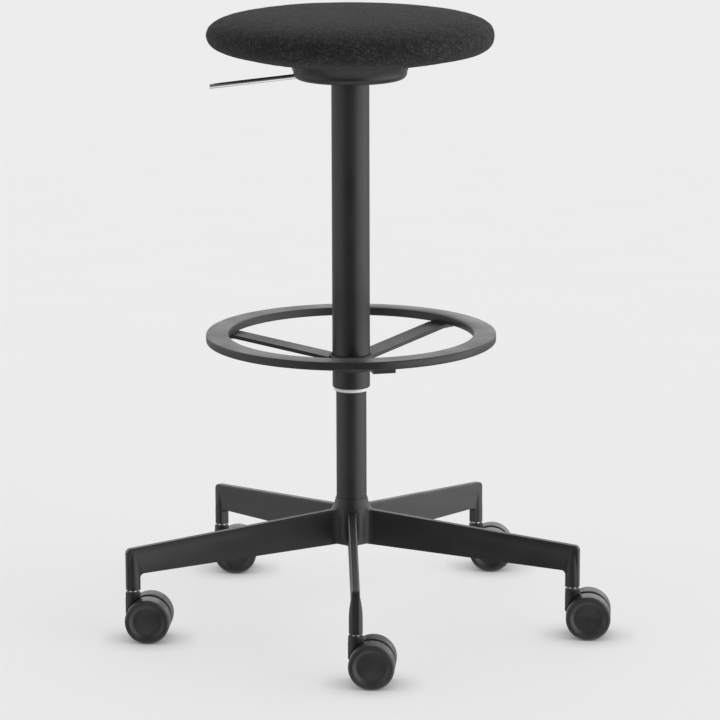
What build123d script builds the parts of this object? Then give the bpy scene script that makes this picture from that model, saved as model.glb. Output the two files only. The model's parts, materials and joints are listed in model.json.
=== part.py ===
from build123d import *
import os
from math import cos, radians, sin, tan

# Adjustable swivel stool on a five-arm caster base.
# Frame: origin on the floor under the column, +Z up, -Y towards the front arm, millimetres.

# ---- driving dimensions -------------------------------------------------------------------

# seat
seat_radius = 191.7
seat_top = 831.5
seat_widest = 800.5        # height of the widest line of the cushion
seat_underside = 770.5     # height of the fabric round the cover
board_radius = 141.0
board_thickness = 12.0
board_bottom = 778.5

# upper tube and footring
tube_radius = 25.4
tube_wall = 2.1
tube_bottom = 323.5
tube_top = 745.0
ring_outer = 195.4
ring_width = 30.0
ring_bottom = 387.5
ring_thickness = 11.0
spoke_width = 30.0
spoke_thickness = 5.0
spoke_root = 365.0         # height of the spoke's upper face at the tube
spoke_angles = (12.1, 132.1, 252.1)

# lower column and gas spring
column_radius = 20.5
column_wall = 2.5
column_bottom = 109.0
column_top = 540.0
cylinder_radius = 14.0
cylinder_wall = 2.0
cylinder_bottom = 270.0
cylinder_top = 745.2
rod_radius = 5.0

# star base
arm_count = 5
post_circle = 310.0        # radius on which the caster posts stand
arm_thickness = 11.0
hub_radius = 25.0
hub_bottom = 107.5
hub_top = 170.0
post_radius = 9.0
post_bottom = 68.0

# casters
wheel_radius = 30.0
wheel_width = 25.5
wheel_trail = 21.5
caster_heading = -4.9      # turn of each trail from +X about +Z
neck_top = 65.0
neck_radius = 10.0
web_thickness = 6.0
stem_radius = 5.5

# release lever
lever_radius = 3.5
lever_slope = 6.33         # the rod's drop towards its outer end, degrees
lever_reach = 187.0        # distance of its outer end from the column axis
lever_exit = 745.9         # height of the rod where it leaves the cover
cover_radius = 75.8

# running fits and gaps
slide_fit = 0.05
side_gap = 0.8             # between a wheel and the web beside it

# ---- worked out ---------------------------------------------------------------------------

tube_bore = tube_radius - tube_wall
column_bore = column_radius - column_wall
cylinder_bore = cylinder_radius - cylinder_wall
ring_inner = ring_outer - ring_width
board_top = board_bottom + board_thickness

caster_names = ("front", "front_right", "rear_right", "rear_left", "front_left")
caster_angles = [360.0 / arm_count * i for i in range(arm_count)]


def radial_plane(angle, height=0.0, radius=0.0):
    """Plane at a height whose X runs out from the axis; angle turns from -Y towards +X."""
    out = Vector(sin(radians(angle)), -cos(radians(angle)), 0)
    return Plane(origin=out * radius + Vector(0, 0, height), x_dir=out, z_dir=(0, 0, 1))


def upright(plane, offset=0.0):
    """Upright plane through a horizontal plane's X axis: X stays, Y becomes up."""
    side = plane.z_dir.cross(plane.x_dir)
    return Plane(origin=plane.origin + side * offset, x_dir=plane.x_dir, z_dir=side * -1)


def save(piece, name):
    """Label a finished piece and write its STEP file."""
    piece.part.label = name
    export_step(piece.part, f"parts/{name}.step")


def sleeve(name, inner, outer, low, high):
    """Plain ring or tube round the column axis."""
    with BuildPart() as ring:
        with BuildSketch(Plane.XY.offset(low)):
            Circle(outer)
            Circle(inner, mode=Mode.SUBTRACT)
        extrude(amount=high - low)
    save(ring, name)


os.makedirs("parts", exist_ok=True)

# ---- star base ----------------------------------------------------------------------------

arm_end = post_circle + post_radius
arm_start = 15.0           # the arm's root, inside the hub
arm_top_at_hub = 155.5
arm_top_at_post = 125.0
arm_bottom_at_hub = 107.0
arm_bottom_at_post = 90.5
arm_edge = 2.2             # rounding of the blade's upper and outer edges
end_corner = 7.0           # rounding of the arm's upper outer corner
under_fillet = 6.0         # hollow under the arm where it meets the post
post_inner = post_circle - post_radius
post_taper = ((post_radius, 80.0), (8.5, 98.0), (6.7, 111.0), (4.0, 122.5))
web_corner = 12.0          # hollow corner between two arms at the hub
web_reach = 54.0           # the hub's webs run out to this radius
web_top = 146.0
web_cut = web_reach + 5.0  # the webs are trimmed by a turned shape this wide
hub_lip = column_radius + 1.0
hub_flare = (hub_radius + 2.0, web_top + 9.0)
socket_radius = 7.0
socket_top = 108.0

with BuildPart() as arm:
    with BuildSketch(upright(radial_plane(0))):
        with BuildLine():
            Line((arm_start, arm_bottom_at_hub), (post_inner - under_fillet, arm_bottom_at_post))
            RadiusArc(
                (post_inner - under_fillet, arm_bottom_at_post),
                (post_inner, arm_bottom_at_post - under_fillet),
                under_fillet,
            )
            Polyline(
                (post_inner, arm_bottom_at_post - under_fillet),
                (post_inner, post_bottom),
                (arm_end, post_bottom),
                (arm_end, arm_top_at_post - end_corner),
            )
            RadiusArc(
                (arm_end, arm_top_at_post - end_corner),
                (arm_end - end_corner, arm_top_at_post),
                -end_corner,
            )
            Polyline(
                (arm_end - end_corner, arm_top_at_post),
                (arm_start, arm_top_at_hub),
                (arm_start, arm_bottom_at_hub),
            )
        make_face()
    extrude(amount=arm_thickness / 2, both=True)
    blade_edges = arm.edges().filter_by(Axis.X, reverse=True)
    top_edges = blade_edges.filter_by(lambda e: e.center().Z > arm_top_at_post - end_corner)
    end_edges = blade_edges.filter_by(lambda e: e.center().Y < -arm_end + end_corner)
    end_edges = end_edges.filter_by(lambda e: e.center().Z > post_bottom + end_corner)
    fillet(set(top_edges + end_edges), arm_edge)

with BuildPart() as post:
    with BuildSketch(upright(radial_plane(0, radius=post_circle))):
        with BuildLine():
            Polyline((0, post_bottom), (post_radius, post_bottom), post_taper[0])
            Spline(*post_taper, tangents=((0, 1), (-0.3, 1)))
            Polyline(post_taper[-1], (0, post_taper[-1][1]), (0, post_bottom))
        make_face()
    revolve(axis=Axis((0, -post_circle, 0), (0, 0, 1)))
    with BuildSketch(radial_plane(0, post_bottom, post_circle)):
        Circle(socket_radius)
    extrude(amount=socket_top - post_bottom, mode=Mode.SUBTRACT)

with BuildPart() as hub:
    with BuildSketch() as web_plan:
        Circle(hub_radius)
        for i in range(arm_count):
            with Locations(radial_plane(360 / arm_count * i, radius=web_reach / 2).location):
                Rectangle(web_reach, arm_thickness)
        roots = web_plan.vertices().filter_by(lambda v: Vector(v).length < hub_radius + 1)
        roots = roots.filter_by(lambda v: Vector(v).length > hub_radius - 1)
        fillet(roots, web_corner)
    extrude(amount=2 * hub_top)
    with BuildSketch(Plane.XZ):
        with BuildLine():
            Polyline(
                (hub_lip, hub_top),
                (0, hub_top),
                (0, hub_bottom),
                (web_cut, hub_bottom),
                (web_cut, web_top),
            )
            Spline(
                (web_cut, web_top),
                hub_flare,
                (hub_lip, hub_top),
                tangents=((-1, 0), (-0.15, 1)),
            )
        make_face()
    revolve(axis=Axis.Z, mode=Mode.INTERSECT)

with BuildPart() as star_base:
    add(hub.part)
    with PolarLocations(0, arm_count):
        add(arm.part)
        add(post.part)
    with PolarLocations(post_circle, arm_count, start_angle=-90):
        with Locations((0, 0, post_bottom)):
            Cylinder(
                socket_radius,
                socket_top - post_bottom,
                align=(Align.CENTER, Align.CENTER, Align.MIN),
                mode=Mode.SUBTRACT,
            )
    with BuildSketch():
        Circle(column_radius)
    extrude(amount=2 * hub_top, mode=Mode.SUBTRACT)
save(star_base, "star_base")

# ---- caster sockets -----------------------------------------------------------------------

stem_top = 104.0
socket_bore = stem_radius + slide_fit

with BuildPart() as caster_sockets:
    with BuildSketch(Plane.XY.offset(post_bottom)):
        with PolarLocations(post_circle, arm_count, start_angle=-90):
            Circle(socket_radius)
    extrude(amount=socket_top - post_bottom)
    with BuildSketch(Plane.XY.offset(post_bottom)):
        with PolarLocations(post_circle, arm_count, start_angle=-90):
            Circle(socket_bore)
    extrude(amount=stem_top + slide_fit - post_bottom, mode=Mode.SUBTRACT)
save(caster_sockets, "caster_sockets")

# ---- lower column and the thrust bearing at the rod's foot ---------------------------------

foot_bottom = 113.0
foot_top = 117.0
neck_of_rod = 4.0          # radius of the rod's foot, below its shoulder
race_thickness = 1.5
race_outer = 13.0
ball_radius = 1.6
ball_circle = 9.5
ball_count = 12
bearing_play = 0.05
lower_race_top = foot_top + race_thickness
ball_height = lower_race_top + bearing_play + ball_radius
upper_race_bottom = ball_height + ball_radius + bearing_play
rod_shoulder = upper_race_bottom + race_thickness
race_gap = 0.6             # round the rod, in the race that stands still
cage_thickness = 1.4
cage_half_width = 2.6
cage_play = 0.1
bush_skirt = 40.0          # the column bush's length outside the column
bush_wall_top = 543.0
bush_chamfer = 1.0

sleeve("lower_column", column_bore, column_radius, column_bottom, column_top)
sleeve("column_foot", neck_of_rod + slide_fit, column_bore, foot_bottom, foot_top)
sleeve("lower_race", neck_of_rod + race_gap, race_outer, foot_top, lower_race_top)
sleeve("upper_race", neck_of_rod, race_outer, upper_race_bottom, rod_shoulder)

with BuildPart() as bearing_cage:
    with BuildSketch(Plane.XY.offset(ball_height - cage_thickness / 2)):
        Circle(ball_circle + cage_half_width)
        Circle(ball_circle - cage_half_width, mode=Mode.SUBTRACT)
        with PolarLocations(ball_circle, ball_count):
            Circle(ball_radius + cage_play, mode=Mode.SUBTRACT)
    extrude(amount=cage_thickness)
    with Locations((0, 0, ball_height)):
        with PolarLocations(ball_circle, ball_count):
            Sphere(ball_radius)
save(bearing_cage, "bearing_cage")

with BuildPart() as column_bush:
    with BuildSketch(Plane.XZ):
        with BuildLine():
            Polyline(
                (column_radius, column_top - bush_skirt),
                (tube_bore - slide_fit, column_top - bush_skirt),
                (tube_bore - slide_fit, bush_wall_top),
                (column_bore, bush_wall_top),
                (column_bore, column_top),
                (column_radius, column_top),
                (column_radius, column_top - bush_skirt),
            )
        make_face()
    revolve(axis=Axis.Z)
    rim = column_bush.edges().group_by(Axis.Z)[-1].sort_by(SortBy.LENGTH)[-1]
    chamfer(rim, bush_chamfer)
save(column_bush, "column_bush")

# ---- gas spring: rod, piston, gland, cylinder and valve button -----------------------------

gland_length = 15.0
gland_top = cylinder_bottom + gland_length
piston_bottom = gland_top + 7.0
piston_length = 14.0
clip_top = foot_bottom - 0.8
clip_thickness = 1.5
clip_radius = 8.0
clip_groove = 3.4          # radius left in the rod's groove
clip_slot = 4.0
rod_bottom = clip_top - 2 * clip_thickness
stopper_radius = 11.0
stopper_thickness = 9.7
cone_bottom = 700.0        # the cylinder's upper end is a taper from here up
cone_top_radius = 13.0
button_radius = 4.0
button_bottom = 736.0
button_travel = 3.0
chamber_floor = button_bottom - button_travel - 1.0
chamber_wall = 4.0         # closes the cylinder under the button's chamber

with BuildPart() as piston_rod:
    with BuildSketch(Plane.XZ):
        with BuildLine():
            Polyline(
                (0, rod_bottom),
                (neck_of_rod, rod_bottom),
                (neck_of_rod, clip_top - clip_thickness),
                (clip_groove, clip_top - clip_thickness),
                (clip_groove, clip_top),
                (neck_of_rod, clip_top),
                (neck_of_rod, rod_shoulder),
                (rod_radius, rod_shoulder),
                (rod_radius, piston_bottom + piston_length),
                (0, piston_bottom + piston_length),
                (0, rod_bottom),
            )
        make_face()
    revolve(axis=Axis.Z)
save(piston_rod, "piston_rod")

sleeve("piston", rod_radius, cylinder_bore - slide_fit, piston_bottom, piston_bottom + piston_length)
sleeve("bump_stop", rod_radius, stopper_radius, rod_shoulder, rod_shoulder + stopper_thickness)

with BuildPart() as rod_clip:
    with BuildSketch(Plane.XY.offset(clip_top - clip_thickness)):
        Circle(clip_radius)
        Circle(clip_groove, mode=Mode.SUBTRACT)
        with Locations((clip_radius, 0)):
            Rectangle(2 * clip_radius, clip_slot, mode=Mode.SUBTRACT)
    extrude(amount=clip_thickness)
save(rod_clip, "rod_clip")

sleeve("cylinder_gland", rod_radius + slide_fit, cylinder_bore, cylinder_bottom, gland_top)

with BuildPart() as gas_cylinder:
    with BuildSketch(Plane.XZ):
        with BuildLine():
            Polyline(
                (cylinder_bore, cylinder_bottom),
                (cylinder_radius, cylinder_bottom),
                (cylinder_radius, cone_bottom),
                (cone_top_radius, cylinder_top),
                (button_radius + slide_fit, cylinder_top),
                (button_radius + slide_fit, chamber_floor),
                (0, chamber_floor),
                (0, chamber_floor - chamber_wall),
                (cylinder_bore, chamber_floor - chamber_wall),
                (cylinder_bore, cylinder_bottom),
            )
        make_face()
    revolve(axis=Axis.Z)
save(gas_cylinder, "gas_cylinder")

# ---- upper tube ---------------------------------------------------------------------------

tube_lip = 1.9             # rounding of the tube's lower edge
bush_bottom = 319.3
bush_length = 45.0
taper_play = 0.1

with BuildPart() as upper_tube:
    with BuildSketch(Plane.XY.offset(tube_bottom)):
        Circle(tube_radius)
        Circle(tube_bore, mode=Mode.SUBTRACT)
    extrude(amount=tube_top - tube_bottom)
    lower_rim = upper_tube.edges().group_by(Axis.Z)[0].sort_by(SortBy.LENGTH)[-1]
    fillet(lower_rim, tube_lip)
save(upper_tube, "upper_tube")

sleeve("guide_bush", column_radius + slide_fit, tube_bore, bush_bottom, bush_bottom + bush_length)

with BuildPart() as taper_socket:
    with BuildSketch(Plane.XZ):
        with BuildLine():
            Polyline(
                (cylinder_radius, cone_bottom),
                (tube_bore, cone_bottom),
                (tube_bore, tube_top),
                (cone_top_radius + taper_play, tube_top),
                (cylinder_radius, cone_bottom),
            )
        make_face()
    revolve(axis=Axis.Z)
save(taper_socket, "taper_socket")

# ---- footring -----------------------------------------------------------------------------

collar_radius = 28.4
collar_bottom = 349.0
collar_top = 368.0
collar_edge = 1.0
spoke_start = collar_radius - 5.0
spoke_end = ring_outer - 2.5
spoke_bend = ring_inner - 5.0
ring_edge = 1.8

with BuildPart() as footring:
    with BuildSketch(Plane.XY.offset(ring_bottom)):
        Circle(ring_outer)
        Circle(ring_inner, mode=Mode.SUBTRACT)
    extrude(amount=ring_thickness)
    fillet(footring.edges().filter_by(GeomType.CIRCLE), ring_edge)
save(footring, "footring")

with BuildPart() as footring_collar:
    with BuildSketch(Plane.XY.offset(collar_bottom)):
        Circle(collar_radius)
        Circle(tube_radius, mode=Mode.SUBTRACT)
    extrude(amount=collar_top - collar_bottom)
    rims = footring_collar.edges().filter_by(GeomType.CIRCLE)
    fillet(rims.filter_by(lambda e: e.radius > tube_radius + 1), collar_edge)
save(footring_collar, "footring_collar")


def make_spoke(angle, name):
    """Flat bar that rises from the collar and runs flat under the ring."""
    side = upright(radial_plane(angle))
    with BuildPart() as spoke:
        with BuildSketch(side):
            with BuildLine():
                Polyline(
                    (spoke_start, spoke_root - spoke_thickness),
                    (spoke_bend, ring_bottom - spoke_thickness),
                    (spoke_end, ring_bottom - spoke_thickness),
                    (spoke_end, ring_bottom),
                    (spoke_bend, ring_bottom),
                    (spoke_start, spoke_root),
                    (spoke_start, spoke_root - spoke_thickness),
                )
            make_face()
        extrude(amount=spoke_width / 2, both=True)
        bends = spoke.edges().filter_by(Axis(side.origin, side.z_dir))
        bends = bends.filter_by(lambda e: abs(Vector(e.center().X, e.center().Y).length - spoke_bend) < 1)
        fillet(bends, spoke_thickness)
        with BuildSketch(Plane.XY.offset(collar_bottom)):
            Circle(collar_radius)
        extrude(amount=spoke_width, mode=Mode.SUBTRACT)
    save(spoke, name)


for name, angle in zip(("spoke_front", "spoke_right", "spoke_left"), spoke_angles):
    make_spoke(angle, name)

# ---- seat plate, board and fasteners ------------------------------------------------------

cover_screw_circle = 62.0
cover_screw_count = 3
cover_screw_radius = 1.75
sheet = 3.0                # thickness of the pressed steel pan
pan_wall = 46.0            # inner radius of the pan's wall
pan_rim = 72.0
pan_hole = 20.0
screw_circle = 61.0
screw_count = 4
m6 = 3.0
m6_clearance = 0.2
screw_head = 5.0
screw_head_height = 4.0
screw_length = 16.0
nut_barrel = 4.2
nut_flange = 9.0
nut_flange_thickness = 1.5
nut_inset = 1.0            # the nut's barrel stops short of the board's lower face
hex_radius = 2.5
hex_depth = 2.5
slot_half_width = 6.4
slot_depth = 16.0          # height of the lever's slot in the pan's wall

with BuildPart() as mounting_pan:
    with BuildSketch(Plane.XZ):
        with BuildLine():
            Polyline(
                (pan_hole, tube_top),
                (pan_wall + sheet, tube_top),
                (pan_wall + sheet, board_bottom - sheet),
                (pan_rim, board_bottom - sheet),
                (pan_rim, board_bottom),
                (pan_wall, board_bottom),
                (pan_wall, tube_top + sheet),
                (pan_hole, tube_top + sheet),
                (pan_hole, tube_top),
            )
        make_face()
    revolve(axis=Axis.Z)
    bends = mounting_pan.edges().filter_by(GeomType.CIRCLE)
    outer_bend = bends.filter_by(lambda e: abs(e.radius - pan_wall - sheet) < 0.1)
    inner_bend = bends.filter_by(lambda e: abs(e.radius - pan_wall) < 0.1)
    fillet(outer_bend.group_by(Axis.Z)[0] + inner_bend.group_by(Axis.Z)[-1], sheet)
    with BuildSketch(Plane.XY.offset(board_bottom)):
        with PolarLocations(screw_circle, screw_count, start_angle=45):
            Circle(m6 + m6_clearance)
        with PolarLocations(cover_screw_circle, cover_screw_count):
            Circle(cover_screw_radius)
    extrude(amount=-sheet, mode=Mode.SUBTRACT)
    with BuildSketch(Plane.XY.offset(tube_top)):
        with Locations((-(pan_wall + pan_hole) / 2 - sheet, 0)):
            Rectangle(pan_wall - pan_hole + 4 * sheet, 2 * slot_half_width)
    extrude(amount=slot_depth, mode=Mode.SUBTRACT)
save(mounting_pan, "mounting_pan")

with BuildPart() as seat_board:
    with BuildSketch(Plane.XY.offset(board_bottom)):
        Circle(board_radius)
        with PolarLocations(screw_circle, screw_count, start_angle=45):
            Circle(nut_barrel, mode=Mode.SUBTRACT)
    extrude(amount=board_thickness)
save(seat_board, "seat_board")

with BuildPart() as tee_nuts:
    with BuildSketch(Plane.XY.offset(board_bottom + nut_inset)):
        with PolarLocations(screw_circle, screw_count, start_angle=45):
            Circle(nut_barrel)
    extrude(amount=board_thickness - nut_inset)
    with BuildSketch(Plane.XY.offset(board_top)):
        with PolarLocations(screw_circle, screw_count, start_angle=45):
            Circle(nut_flange)
    extrude(amount=nut_flange_thickness)
    with BuildSketch(Plane.XY.offset(board_bottom)):
        with PolarLocations(screw_circle, screw_count, start_angle=45):
            Circle(m6)
    extrude(amount=board_thickness + 2 * nut_flange_thickness, mode=Mode.SUBTRACT)
save(tee_nuts, "tee_nuts")

with BuildPart() as plate_screws:
    with BuildSketch(Plane.XY.offset(board_bottom - sheet - screw_head_height)):
        with PolarLocations(screw_circle, screw_count, start_angle=45):
            Circle(screw_head)
    extrude(amount=screw_head_height)
    with BuildSketch(Plane.XY.offset(board_bottom - sheet)):
        with PolarLocations(screw_circle, screw_count, start_angle=45):
            Circle(m6)
    extrude(amount=screw_length)
    with BuildSketch(Plane.XY.offset(board_bottom - sheet - screw_head_height)):
        with PolarLocations(screw_circle, screw_count, start_angle=45):
            RegularPolygon(hex_radius, 6)
    extrude(amount=hex_depth, mode=Mode.SUBTRACT)
save(plate_screws, "plate_screws")

# ---- cover under the seat -----------------------------------------------------------------

cover_bottom = 742.5
cover_top = 770.3
cover_wall = 2.0
cover_corner = 8.5
cover_flare = 752.5        # the wall flares out above this height
cover_hole = tube_radius + 0.2
cover_rim = 83.5
boss_radius = 4.5
cover_head_radius = 3.6
cover_head_height = 2.5
cover_seat = cover_bottom + cover_head_height
cover_screw_top = board_bottom - 1.0
head_play = 0.2
screw_play = 0.15
cross_length = 4.0
cross_width = 0.9
cross_depth = 1.3
lever_slot_top = 755.0
lever_slot_bottom = cover_bottom - 4.0
lever_slot_half_width = 5.0
lever_slot_corner = 4.0

with BuildPart() as mechanism_cover:
    with BuildSketch(Plane.XZ):
        with BuildLine():
            Line((cover_hole, cover_bottom), (cover_radius - cover_corner, cover_bottom))
            RadiusArc(
                (cover_radius - cover_corner, cover_bottom),
                (cover_radius, cover_bottom + cover_corner),
                -cover_corner,
            )
            Polyline(
                (cover_radius, cover_bottom + cover_corner),
                (cover_radius, cover_flare),
                (cover_rim, cover_top),
                (cover_rim - cover_wall, cover_top),
                (cover_radius - cover_wall, cover_flare),
                (cover_radius - cover_wall, cover_bottom + cover_corner),
            )
            RadiusArc(
                (cover_radius - cover_wall, cover_bottom + cover_corner),
                (cover_radius - cover_corner, cover_bottom + cover_wall),
                cover_corner - cover_wall,
            )
            Polyline(
                (cover_radius - cover_corner, cover_bottom + cover_wall),
                (cover_hole, cover_bottom + cover_wall),
                (cover_hole, cover_bottom),
            )
        make_face()
    revolve(axis=Axis.Z)
    with BuildSketch(Plane.XY.offset(cover_bottom + cover_wall / 2)):
        with PolarLocations(cover_screw_circle, cover_screw_count):
            Circle(boss_radius)
    extrude(amount=board_bottom - sheet - cover_bottom - cover_wall / 2)
    with BuildSketch(Plane.XY.offset(cover_bottom)):
        with PolarLocations(cover_screw_circle, cover_screw_count):
            Circle(cover_screw_radius + screw_play)
    extrude(amount=board_bottom - cover_bottom, mode=Mode.SUBTRACT)
    with BuildSketch(Plane.XY.offset(cover_bottom)):
        with PolarLocations(cover_screw_circle, cover_screw_count):
            Circle(cover_head_radius + head_play)
    extrude(amount=cover_head_height, mode=Mode.SUBTRACT)
    with BuildSketch(Plane.YZ.offset(-cover_rim)):
        with Locations((0, (lever_slot_bottom + lever_slot_top) / 2)):
            RectangleRounded(
                2 * lever_slot_half_width,
                lever_slot_top - lever_slot_bottom,
                lever_slot_corner,
            )
    extrude(amount=cover_rim - pan_wall, mode=Mode.SUBTRACT)
save(mechanism_cover, "mechanism_cover")

with BuildPart() as cover_screws:
    with BuildSketch(Plane.XY.offset(cover_bottom)):
        with PolarLocations(cover_screw_circle, cover_screw_count):
            Circle(cover_head_radius)
    extrude(amount=cover_head_height)
    with BuildSketch(Plane.XY.offset(cover_seat)):
        with PolarLocations(cover_screw_circle, cover_screw_count):
            Circle(cover_screw_radius)
    extrude(amount=cover_screw_top - cover_seat)
    with BuildSketch(Plane.XY.offset(cover_bottom)):
        with PolarLocations(cover_screw_circle, cover_screw_count):
            Rectangle(cross_length, cross_width)
            Rectangle(cross_width, cross_length)
    extrude(amount=cross_depth, mode=Mode.SUBTRACT)
save(cover_screws, "cover_screws")

# ---- release lever, its bracket and the valve button --------------------------------------

pivot_x = -28.0
pin_radius = 2.0
pin_head_radius = 2.5
pin_head_thickness = 1.2
rod_chamfer = 0.4
arm_half_width = 6.0
arm_half_height = 4.1
bar_half_width = 4.0
bar_half_height = 3.5
nose_radius = 5.0
rod_socket = 11.0          # depth of the rod in the arm
arm_back = 16.0            # the arm's length behind the pivot
arm_front = 6.0
ear_thickness = 2.0
ear_inner = 6.6
ear_outer = ear_inner + ear_thickness
ear_half_length = 7.0
bracket_top = 760.0
nose_gap = 0.1

slope = radians(lever_slope)


def lever_height(x):
    """Height of the lever's centre line above the floor at a given X."""
    return lever_exit + (x + cover_radius - 5) * tan(slope)


toward_axis = Vector(cos(slope), 0, sin(slope))
pivot = Vector(pivot_x, 0, lever_height(pivot_x))
lever_tip = Vector(-lever_reach, 0, lever_height(-lever_reach))
rod_inner_end = pivot - toward_axis * (arm_back - rod_socket)
nose_reach = -pivot_x / cos(slope)

with BuildPart() as release_lever:
    with BuildSketch(Plane(origin=lever_tip, x_dir=(0, 1, 0), z_dir=toward_axis)):
        Circle(lever_radius)
    extrude(amount=(rod_inner_end - lever_tip).length)
    chamfer(release_lever.edges().sort_by(Axis.X)[0], rod_chamfer)
save(release_lever, "release_lever")

lever_plane = Plane(origin=pivot, x_dir=toward_axis, z_dir=(0, -1, 0))

with BuildPart() as lever_arm:
    with BuildSketch(lever_plane):
        with Locations(((arm_front - arm_back) / 2, 0)):
            Rectangle(arm_front + arm_back, 2 * arm_half_height)
    extrude(amount=arm_half_width, both=True)
    with BuildSketch(lever_plane):
        with Locations((nose_reach / 2, 0)):
            Rectangle(nose_reach, 2 * bar_half_height)
        with Locations((nose_reach, 0)):
            Circle(nose_radius)
    extrude(amount=bar_half_width, both=True)
    with BuildSketch(lever_plane):
        Circle(pin_radius + slide_fit)
    extrude(amount=arm_half_width, both=True, mode=Mode.SUBTRACT)
    with BuildSketch(Plane(origin=rod_inner_end, x_dir=(0, 1, 0), z_dir=toward_axis)):
        Circle(lever_radius)
    extrude(amount=-rod_socket, mode=Mode.SUBTRACT)
save(lever_arm, "lever_arm")

pan_floor = tube_top + sheet
pin_plane = Plane(origin=pivot, x_dir=(1, 0, 0), z_dir=(0, -1, 0))

with BuildPart() as lever_bracket:
    with BuildSketch(Plane.YZ.offset(pivot_x - ear_half_length)):
        with BuildLine():
            Polyline(
                (ear_inner, pan_floor),
                (ear_outer, pan_floor),
                (ear_outer, bracket_top),
                (-ear_outer, bracket_top),
                (-ear_outer, pan_floor),
                (-ear_inner, pan_floor),
                (-ear_inner, bracket_top - ear_thickness),
                (ear_inner, bracket_top - ear_thickness),
                (ear_inner, pan_floor),
            )
        make_face()
    extrude(amount=2 * ear_half_length)
    with BuildSketch(pin_plane):
        Circle(pin_radius)
    extrude(amount=2 * ear_inner, both=True, mode=Mode.SUBTRACT)
save(lever_bracket, "lever_bracket")

with BuildPart() as lever_pin:
    with BuildSketch(pin_plane.offset(-ear_outer - 1)):
        Circle(pin_radius)
    extrude(amount=2 * ear_outer + 1)
    with BuildSketch(pin_plane.offset(ear_outer)):
        Circle(pin_head_radius)
    extrude(amount=pin_head_thickness)
save(lever_pin, "lever_pin")

button_top = lever_height(0) - nose_radius - nose_gap

with BuildPart() as release_button:
    with BuildSketch(Plane.XY.offset(button_bottom)):
        Circle(button_radius)
    extrude(amount=button_top - button_bottom)
save(release_button, "release_button")

# ---- seat cushion -------------------------------------------------------------------------

pocket_gap = 0.3           # between the foam and the board inside it
mouth_radius = pan_rim + 1.0
underside_flat = cover_rim + 1.0
crown_pull = 46.0          # how far the crown's flat pulls in from the edge
shoulder_pull = 24.0
belly_pull = 20.0
underside_pull = 41.0
underside_rise = 1.5

with BuildPart() as seat_cushion:
    with BuildSketch(Plane.XZ):
        with BuildLine():
            Polyline((0, board_top + pocket_gap), (0, seat_top))
            Bezier(
                (0, seat_top),
                (seat_radius - crown_pull, seat_top),
                (seat_radius, seat_widest + shoulder_pull),
                (seat_radius, seat_widest),
            )
            Bezier(
                (seat_radius, seat_widest),
                (seat_radius, seat_widest - belly_pull),
                (seat_radius - underside_pull, seat_underside + underside_rise),
                (underside_flat, seat_underside),
            )
            Polyline(
                (underside_flat, seat_underside),
                (mouth_radius, seat_underside),
                (mouth_radius, board_bottom - pocket_gap),
                (board_radius + pocket_gap, board_bottom - pocket_gap),
                (board_radius + pocket_gap, board_top + pocket_gap),
                (0, board_top + pocket_gap),
            )
        make_face()
    revolve(axis=Axis.Z)
    with BuildSketch(Plane.XY.offset(board_top)):
        with PolarLocations(screw_circle, screw_count, start_angle=45):
            Circle(nut_flange + pocket_gap)
    extrude(amount=nut_flange_thickness + pocket_gap, mode=Mode.SUBTRACT)
save(seat_cushion, "seat_cushion")

# ---- casters ------------------------------------------------------------------------------

web_radius = 22.0
neck_bottom = 35.0
neck_chamfer = 0.8
shoulder_height = 57.5     # top of the web's outline, inside the neck
wheel_clearance = 1.0
axle_radius = 3.0
axle_depth = 15.0          # depth of the axle's bore in each wheel
axle_end_gap = 0.5
axle_chamfer = 0.4
hub_of_wheel = 8.0
inner_pocket = 13.0        # depth of the hollow in the wheel's inner face
rim_inner = 23.5
face_inner = 23.9          # the rim's flat face starts here
cap_radius = 19.2
cap_recess = 3.8
tread_shoulder = 3.4       # rounding of the tread's outer edge
tread_edge = 1.3           # rounding of its inner edge
shank_bottom = 44.0        # the stem's thin end, pressed into the web
shank_radius = 2.8
shank_top = 57.0
groove_height = 96.0       # where the socket's snap ring grips the stem
groove_width = 2.0
groove_depth = 0.7
stem_chamfer = 0.8

wheel_inner = web_thickness / 2 + side_gap
wheel_outer = wheel_inner + wheel_width


def caster_plane(angle):
    """Floor plane under a post, X along the caster's trail."""
    spot = radial_plane(angle, radius=post_circle).origin
    heading = radians(caster_heading)
    return Plane(origin=spot, x_dir=(cos(heading), sin(heading), 0), z_dir=(0, 0, 1))


def make_stem(foot, name):
    """Steel stem, fixed in the caster's neck and turning in the post's socket."""
    with BuildPart() as stem:
        with BuildSketch(foot.offset(shank_bottom)):
            Circle(shank_radius)
        extrude(amount=shank_top - shank_bottom)
        with BuildSketch(foot.offset(shank_top)):
            Circle(stem_radius)
        extrude(amount=stem_top - shank_top)
        with BuildSketch(foot.offset(groove_height)):
            Circle(stem_radius)
            Circle(stem_radius - groove_depth, mode=Mode.SUBTRACT)
        extrude(amount=groove_width, mode=Mode.SUBTRACT)
        chamfer(stem.edges().group_by(Axis.Z)[-1], stem_chamfer)
    save(stem, f"stem_{name}")


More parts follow.
